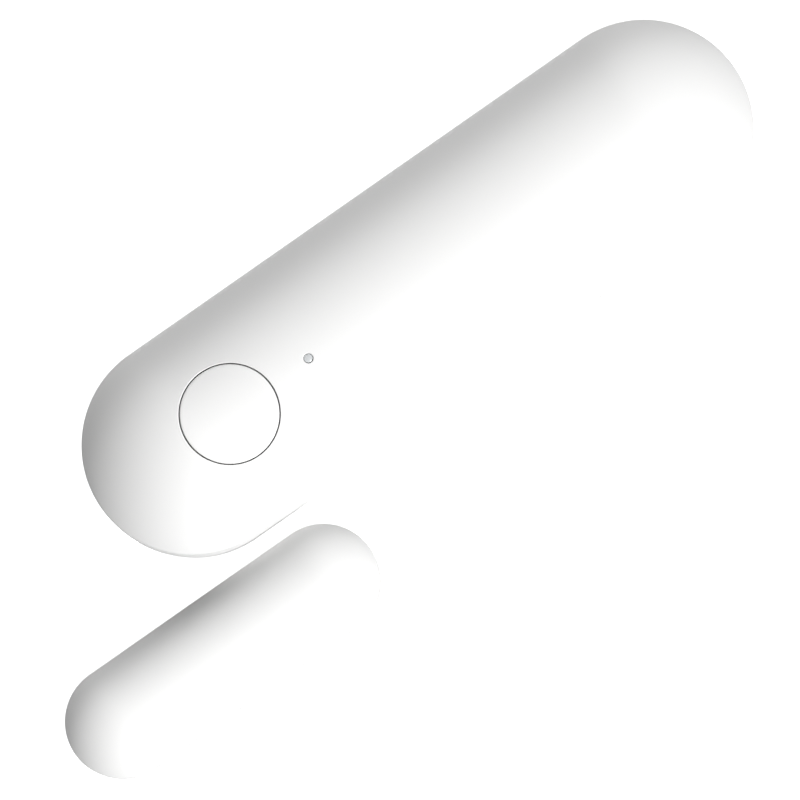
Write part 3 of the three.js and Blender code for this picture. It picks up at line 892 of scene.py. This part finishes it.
def reed_glass():
    """The reed switch's hollow glass tube with melted, rounded ends."""
    low, high = box_mm("reed_switch_glass")
    x, y, z = centre_mm("reed_switch_glass")
    radius = (high[1] - low[1]) / 2
    half = (high[0] - low[0]) / 2
    builder = Builder()
    for shrink in (0.0, 0.22):
        profile = []
        steps = 10
        for end in (-1, 1):
            for i in range(steps + 1):
                angle = math.pi / 2 * (i if end < 0 else steps - i) / steps
                r = radius - shrink
                along = end * (half - radius - 3 * shrink + r * math.cos(angle))
                profile.append((r * math.sin(angle), x + along))
        turned_along_x(builder, profile, y, z, 40)
    return placed(builder, "reed_tube", "sensor_base", "reed_glass", "reed_switch_glass")


def reed_blades():
    """The two flat contact blades inside the tube, overlapping in the middle."""
    x, y, z = centre_mm("reed_switch_glass")
    low, high = box_mm("reed_switch_glass")
    builder = Builder()
    for side in (-1, 1):
        end = low[0] if side < 0 else high[0]
        tip = x - side * 0.6
        near, far = min(end + side * -0.05, tip), max(end + side * -0.05, tip)
        lift = side * 0.12
        soft_block(builder, (near, y - 0.3, z + lift - 0.05), (far, y + 0.3, z + lift + 0.05), edge=0.02)
    return placed(builder, "reed_blades", "sensor_base", "nickel")


def reed_lead(node, side, name):
    """A wire from one end of the tube, bent down to the board."""
    low, high = box_mm(node)
    y = centre_mm(node)[1]
    start = low[0] if side > 0 else high[0]
    foot = high[0] - LEAD_RADIUS_MM if side > 0 else low[0] + LEAD_RADIUS_MM
    axis = high[2] - LEAD_RADIUS_MM
    bend = 0.6
    path = [(start, axis), ((start + foot - side * bend) / 2, axis)]
    steps = 10
    for i in range(steps + 1):
        angle = math.pi / 2 * i / steps
        path.append((foot - side * bend * (1 - math.sin(angle)), axis - bend * (1 - math.cos(angle))))
    path += [(foot, (axis - bend + low[2]) / 2), (foot, low[2])]
    builder = Builder()
    wire(builder, path, y, LEAD_RADIUS_MM)
    return placed(builder, name, "sensor_base", "steel", node)


def cell_can():
    """The cell's can: rounded shoulders, a raised positive nub and a stepped negative end."""
    low, high = box_mm("battery_can")
    _, y, z = centre_mm("battery_can")
    radius = (high[1] - low[1]) / 2
    nub = 1.9
    left, right = low[0], high[0]
    shoulder = right - 1.2
    profile = [(0, left + 0.15), (2.6, left + 0.15), (2.9, left), (3.6, left), (3.9, left + 0.12),
               (radius - 0.35, left + 0.12), (radius - 0.1, left + 0.22), (radius, left + 0.45),
               (radius, shoulder - 0.45), (radius - 0.1, shoulder - 0.15), (radius - 0.4, shoulder),
               (nub + 0.35, shoulder), (nub + 0.08, shoulder + 0.08), (nub, shoulder + 0.3),
               (nub, right - 0.2), (nub - 0.06, right - 0.06), (nub - 0.2, right), (0, right)]
    builder = Builder()
    turned_along_x(builder, profile, y, z)
    return placed(builder, "cell_can", "sensor_base", "cell_steel", "battery_can")


def cell_film():
    """The printed film shrunk round the can, curling a little over both shoulders."""
    low, high = box_mm("battery_sleeve")
    _, y, z = centre_mm("battery_sleeve")
    outer = (high[1] - low[1]) / 2
    inner = outer - 0.2
    section = [(inner, low[0]), (outer - 0.08, low[0]), (outer, low[0] + 0.12), (outer, high[0] - 0.12),
               (outer - 0.08, high[0]), (inner, high[0])]
    rows = []
    for radius, x in section:
        turn = [2 * math.pi * i / TURN_STEPS for i in range(TURN_STEPS)]
        rows.append([(x, y + radius * math.cos(a), z + radius * math.sin(a)) for a in turn])
    builder = Builder()
    loops = builder.rings(rows)
    builder.bridge(loops[-1], loops[0])
    return placed(builder, "cell_film", "sensor_base", "cell_sleeve", "battery_sleeve")


def soften(node, width_mm, segments=2):
    """Rounds the edges of a CAD piece that is shown as it is."""
    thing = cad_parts[node]
    bevel = thing.modifiers.new("soft edges", "BEVEL")
    bevel.width = width_mm * MM
    bevel.segments = segments
    bevel.limit_method = "ANGLE"
    bevel.angle_limit = math.radians(40)
    bevel.harden_normals = False
    return thing


# ---- materials ----


def material(name, color, roughness, metallic=0.0):
    """A new Principled material and its node tree, with a coordinate in millimetres."""
    made = bpy.data.materials.new(name)
    made.use_nodes = True
    tree = made.node_tree
    shader = tree.nodes["Principled BSDF"]
    shader.inputs["Base Color"].default_value = (*color, 1)
    shader.inputs["Roughness"].default_value = roughness
    shader.inputs["Metallic"].default_value = metallic
    place = tree.nodes.new("ShaderNodeTexCoord")
    mapping = tree.nodes.new("ShaderNodeMapping")
    mapping.inputs["Scale"].default_value = (1 / MM, 1 / MM, 1 / MM)
    tree.links.new(place.outputs["Object"], mapping.inputs["Vector"])
    return made, tree, shader, mapping.outputs["Vector"]


def noise(tree, place, per_mm, detail=3.0, rough=0.55):
    node = tree.nodes.new("ShaderNodeTexNoise")
    node.inputs["Scale"].default_value = per_mm
    node.inputs["Detail"].default_value = detail
    node.inputs["Roughness"].default_value = rough
    tree.links.new(place, node.inputs["Vector"])
    return node.outputs["Fac"]


def vary(tree, value, low, high):
    """Maps a 0..1 value to the range low..high."""
    node = tree.nodes.new("ShaderNodeMapRange")
    node.inputs["From Min"].default_value = 0.3
    node.inputs["From Max"].default_value = 0.7
    node.inputs["To Min"].default_value = low
    node.inputs["To Max"].default_value = high
    tree.links.new(value, node.inputs["Value"])
    return node.outputs["Result"]


def blend_colors(tree, factor, first, second):
    node = tree.nodes.new("ShaderNodeMix")
    node.data_type = "RGBA"
    node.inputs["A"].default_value = (*first, 1)
    node.inputs["B"].default_value = (*second, 1)
    tree.links.new(factor, node.inputs["Factor"])
    return node.outputs["Result"]


def bump(tree, height, strength, distance_mm, normal=None):
    node = tree.nodes.new("ShaderNodeBump")
    node.inputs["Strength"].default_value = strength
    node.inputs["Distance"].default_value = distance_mm * MM
    tree.links.new(height, node.inputs["Height"])
    if normal is not None:
        tree.links.new(normal, node.inputs["Normal"])
    return node.outputs["Normal"]


def moulded_plastic(name, color, roughness, grain=0.25, tone=0.012):
    """Moulded plastic: a fine spark-eroded grain, slow flow marks and slight changes of tone."""
    made, tree, shader, place = material(name, color, roughness)
    slow = noise(tree, place, 0.09, 2.0)
    deeper = tuple(max(0.0, c - tone) for c in color)
    tree.links.new(blend_colors(tree, slow, color, deeper), shader.inputs["Base Color"])
    fine = noise(tree, place, 9.0, 2.0)
    tree.links.new(vary(tree, fine, roughness - 0.04, roughness + 0.05), shader.inputs["Roughness"])
    shader.inputs["Specular IOR Level"].default_value = 0.3
    flow = bump(tree, noise(tree, place, 0.35, 1.0), 0.12, 0.02)
    tree.links.new(bump(tree, fine, grain, 0.006, flow), shader.inputs["Normal"])
    return made


def clear_lens(name):
    """Milky clear plastic with faint clouding."""
    made, tree, shader, place = material(name, (0.62, 0.64, 0.65), 0.25)
    cloud = noise(tree, place, 2.0, 2.0)
    tone = blend_colors(tree, cloud, (0.66, 0.68, 0.69), (0.55, 0.57, 0.58))
    tree.links.new(tone, shader.inputs["Base Color"])
    tree.links.new(bump(tree, cloud, 0.1, 0.01), shader.inputs["Normal"])
    return made


def foam(name, color):
    """Closed-cell foam: fine open cells cut through at the surface."""
    made, tree, shader, place = material(name, color, 0.85)
    cells = tree.nodes.new("ShaderNodeTexVoronoi")
    cells.inputs["Scale"].default_value = 5.0
    tree.links.new(place, cells.inputs["Vector"])
    slow = noise(tree, place, 0.4)
    darker = tuple(c * 0.86 for c in color)
    tree.links.new(blend_colors(tree, slow, color, darker), shader.inputs["Base Color"])
    tree.links.new(vary(tree, slow, 0.78, 0.92), shader.inputs["Roughness"])
    tree.links.new(bump(tree, cells.outputs["Distance"], 0.6, 0.05), shader.inputs["Normal"])
    return made


def solder_mask(name, color):
    """Green mask over glass cloth: a faint weave shows through, with a slight orange peel."""
    made, tree, shader, place = material(name, color, 0.32)
    weave = tree.nodes.new("ShaderNodeTexWave")
    weave.inputs["Scale"].default_value = 0.9
    weave.inputs["Distortion"].default_value = 0.6
    tree.links.new(place, weave.inputs["Vector"])
    lighter = tuple(c * 1.35 for c in color)
    tree.links.new(blend_colors(tree, weave.outputs["Fac"], color, lighter), shader.inputs["Base Color"])
    peel = noise(tree, place, 1.6)
    tree.links.new(vary(tree, peel, 0.26, 0.4), shader.inputs["Roughness"])
    tree.links.new(bump(tree, peel, 0.25, 0.01), shader.inputs["Normal"])
    return made


def metal(name, color, roughness, brushed=(1.0, 1.0, 1.0), per_mm=3.0, depth=0.15):
    """Bare or plated metal. The grain is drawn out along the axes with small brushed values."""
    made, tree, shader, place = material(name, color, roughness, metallic=1.0)
    drawn = tree.nodes.new("ShaderNodeMapping")
    drawn.inputs["Scale"].default_value = brushed
    tree.links.new(place, drawn.inputs["Vector"])
    grain = noise(tree, drawn.outputs["Vector"], per_mm, 4.0)
    stain = noise(tree, place, 0.5, 2.0)
    duller = tuple(c * 0.85 for c in color)
    tree.links.new(blend_colors(tree, stain, color, duller), shader.inputs["Base Color"])
    tree.links.new(vary(tree, grain, roughness - 0.06, roughness + 0.1), shader.inputs["Roughness"])
    tree.links.new(bump(tree, grain, depth, 0.01), shader.inputs["Normal"])
    return made


def fired_ceramic(name, color, roughness):
    """Fired ceramic: a faint speckle and a slightly uneven surface."""
    made, tree, shader, place = material(name, color, roughness)
    speckle = noise(tree, place, 7.0, 5.0, 0.7)
    darker = tuple(c * 0.88 for c in color)
    tree.links.new(blend_colors(tree, speckle, color, darker), shader.inputs["Base Color"])
    tree.links.new(vary(tree, speckle, roughness - 0.05, roughness + 0.08), shader.inputs["Roughness"])
    tree.links.new(bump(tree, speckle, 0.15, 0.01), shader.inputs["Normal"])
    return made


def printed_film(name, color, band):
    """Shrunk film: dark, with a pale band towards the positive end and fine shrink wrinkles."""
    made, tree, shader, place = material(name, color, 0.3)
    split = tree.nodes.new("ShaderNodeSeparateXYZ")
    tree.links.new(place, split.inputs["Vector"])
    step = tree.nodes.new("ShaderNodeMapRange")
    edge_mm = box_mm("battery_sleeve")[1][0] - 12.0
    step.inputs["From Min"].default_value = edge_mm
    step.inputs["From Max"].default_value = edge_mm + 0.15
    tree.links.new(split.outputs["X"], step.inputs["Value"])
    tree.links.new(blend_colors(tree, step.outputs["Result"], color, band), shader.inputs["Base Color"])
    wrinkles = noise(tree, place, 0.8, 3.0)
    tree.links.new(vary(tree, wrinkles, 0.24, 0.4), shader.inputs["Roughness"])
    tree.links.new(bump(tree, wrinkles, 0.3, 0.03), shader.inputs["Normal"])
    return made


def tube_glass(name, color):
    """Drawn glass, faintly green, with slow waves along the tube."""
    made, tree, shader, place = material(name, color, 0.05)
    waves = noise(tree, place, 0.7, 1.0)
    tree.links.new(vary(tree, waves, 0.03, 0.08), shader.inputs["Roughness"])
    tree.links.new(bump(tree, waves, 0.2, 0.03), shader.inputs["Normal"])
    shader.inputs["Transmission Weight"].default_value = 0.9
    shader.inputs["IOR"].default_value = 1.48
    return made


def dress(thing, finish):
    thing.data.materials.clear()
    thing.data.materials.append(finish)


def dress_pair(pair, first, second):
    """Dresses a part's body in the first material and its plated ends in the second."""
    dress(pair[0], first)
    dress(pair[1], second)


# ---- stage ----

VIEW_TURN = math.radians(35)  # the sensor unit rises to the right in the view
VIEW_TILT = 0.060  # tangent of the lean off straight down
VIEW_LEAN_FROM = math.radians(285)  # where in the view the camera leans from
VIEW_WIDTH_MM = 80.0
VIEW_DISTANCE_MM = 900.0
VIEW_TARGET_MM = (-8.03, -8.45, 12.0)


def view_axes():
    right = Vector((math.cos(VIEW_TURN), -math.sin(VIEW_TURN), 0))
    up = Vector((math.sin(VIEW_TURN), math.cos(VIEW_TURN), 0))
    return right, up


def camera():
    right, up = view_axes()
    lean = right * math.cos(VIEW_LEAN_FROM) + up * math.sin(VIEW_LEAN_FROM)
    back = (Vector((0, 0, 1)) + lean * VIEW_TILT).normalized()
    across = (right - back * right.dot(back)).normalized()
    upward = back.cross(across)
    data = bpy.data.cameras.new("view")
    data.sensor_width = 36.0
    data.lens = data.sensor_width * VIEW_DISTANCE_MM / VIEW_WIDTH_MM
    data.clip_start = 0.01
    made = bpy.data.objects.new("view", data)
    place = Vector([c * MM for c in VIEW_TARGET_MM]) + back * VIEW_DISTANCE_MM * MM
    made.matrix_world = Matrix.Translation(place) @ Matrix((across, upward, back)).transposed().to_4x4()
    bpy.context.scene.collection.objects.link(made)
    bpy.context.scene.camera = made


def area_light(name, direction, distance, size, power):
    data = bpy.data.lights.new(name, "AREA")
    data.shape = "DISK"
    data.size = size
    data.energy = power
    made = bpy.data.objects.new(name, data)
    toward = Vector(direction).normalized()
    made.location = toward * distance
    made.rotation_euler = toward.to_track_quat("Z", "Y").to_euler()
    bpy.context.scene.collection.objects.link(made)


def light_toward(azimuth, elevation):
    """A direction from its angle in the view, anticlockwise from the right, and its height."""
    right, up = view_axes()
    turn, rise = math.radians(azimuth), math.radians(elevation)
    flat = right * math.cos(turn) + up * math.sin(turn)
    return flat * math.cos(rise) + Vector((0, 0, math.sin(rise)))


def lights():
    """A soft key from the lower right and a low, soft rim light from above."""
    area_light("key", light_toward(-47, 47), 0.6, 0.3, 4.5)
    area_light("rim", light_toward(103, 18), 0.6, 0.6, 2.05)
    world = bpy.data.worlds.new("surround")
    world.use_nodes = True
    background = world.node_tree.nodes["Background"]
    background.inputs["Color"].default_value = (1, 1, 1, 1)
    background.inputs["Strength"].default_value = 0.13
    bpy.context.scene.world = world


def floor():
    builder = Builder()
    loop = builder.add(circle(0, 0, 1500, -0.02, 64))
    builder.cap(loop, facing_up=True)
    made = builder.object("floor")
    paper, tree, shader, place = material("floor_paper", (0.9, 0.9, 0.9), 0.8)
    tree.links.new(bump(tree, noise(tree, place, 0.5), 0.05, 0.02), shader.inputs["Normal"])
    shader.inputs["Emission Color"].default_value = (1, 1, 1, 1)
    shader.inputs["Emission Strength"].default_value = 1.0
    dress(made, paper)
    made.visible_diffuse = False


# ---- the scene ----

camera()
lights()
floor()

white = moulded_plastic("white_shell_plastic", (0.87, 0.87, 0.865), 0.52)
button_white = moulded_plastic("white_button_plastic", (0.88, 0.88, 0.875), 0.48, grain=0.18)
inner_white = moulded_plastic("inner_white_plastic", (0.76, 0.77, 0.76), 0.5, grain=0.4)
black = moulded_plastic("black_part_plastic", (0.022, 0.022, 0.024), 0.45, grain=0.3, tone=0.006)
clear = clear_lens("lens_plastic")
tape = foam("pad_foam", (0.7, 0.7, 0.67))
mask = solder_mask("board_mask", (0.018, 0.11, 0.045))
steel = metal("screw_steel", (0.5, 0.51, 0.52), 0.3)
nickel = metal("contact_nickel", (0.62, 0.6, 0.55), 0.28, brushed=(0.08, 1.0, 1.0))
tin = metal("solder_tin", (0.66, 0.66, 0.65), 0.34, per_mm=1.5, depth=0.3)
alloy = metal("magnet_plating", (0.56, 0.57, 0.59), 0.26, brushed=(0.05, 1.0, 1.0))
can_steel = metal("cell_can_steel", (0.6, 0.6, 0.58), 0.3, brushed=(1.0, 0.2, 0.2))
pale_ceramic = fired_ceramic("pale_ceramic", (0.8, 0.78, 0.72), 0.35)
tan_ceramic = fired_ceramic("tan_ceramic", (0.42, 0.3, 0.18), 0.4)
film = printed_film("cell_film_print", (0.03, 0.045, 0.07), (0.55, 0.42, 0.2))
glass = tube_glass("reed_tube_glass", (0.78, 0.9, 0.82))

dress(sensor_cover(), white)
dress(magnet_cover(), white)
dress(button_cap(), button_white)
dress(light_lens(), clear)
dress(back_plate("sensor_back_plate", "sensor_base", SENSOR_SHAPE, 1.0, "sensor_back_moulding"), inner_white)
dress(back_plate("magnet_back_plate", "magnet_unit", MAGNET_SHAPE, 0.9, "magnet_back_moulding"), inner_white)
dress(adhesive_pad("sensor_adhesive_pad", "sensor_base", "sensor_foam"), tape)
dress(adhesive_pad("magnet_adhesive_pad", "magnet_unit", "magnet_foam"), tape)
dress(board(), mask)
dress(board_tracks(), solder_mask("track_mask", (0.035, 0.19, 0.08)))
dress(solder_pads(), tin)
dress(chip(), black)
dress(chip_lands(), tin)
dress_pair(capped_part("capacitor_1", 0, 0.35, "capacitor_body_1", "capacitor_ends_1", "component_tan"),
           tan_ceramic, tin)
dress_pair(capped_part("capacitor_2", 0, 0.35, "capacitor_body_2", "capacitor_ends_2", "component_tan"),
           tan_ceramic, tin)
dress_pair(capped_part("chip_antenna", 1, 0.7, "antenna_body", "antenna_ends", "component_white"),
           pale_ceramic, tin)
dress_pair(capped_part("indicator_led", 1, 0.3, "indicator_body", "indicator_ends", "component_white"),
           pale_ceramic, tin)
dress(light_dome(), clear)
dress(crystal_can(), nickel)
dress(switch_housing(), black)
dress(switch_frame(), nickel)
dress(switch_plunger(), pale_ceramic)
dress(screw(1), steel)
dress(screw(2), steel)
dress(reed_glass(), glass)
dress(reed_blades(), nickel)
dress(reed_lead("reed_lead_inner", 1, "reed_wire_inner"), steel)
dress(reed_lead("reed_lead_outer", -1, "reed_wire_outer"), steel)
dress(cell_can(), can_steel)
dress(cell_film(), film)
dress(soften("inner_chassis", 0.15), inner_white)
dress(soften("contact_negative", 0.06), nickel)
dress(soften("contact_positive", 0.06), nickel)
dress(soften("bar_magnet", 0.15), alloy)

scene = bpy.context.scene
scene.view_settings.view_transform = "Standard"
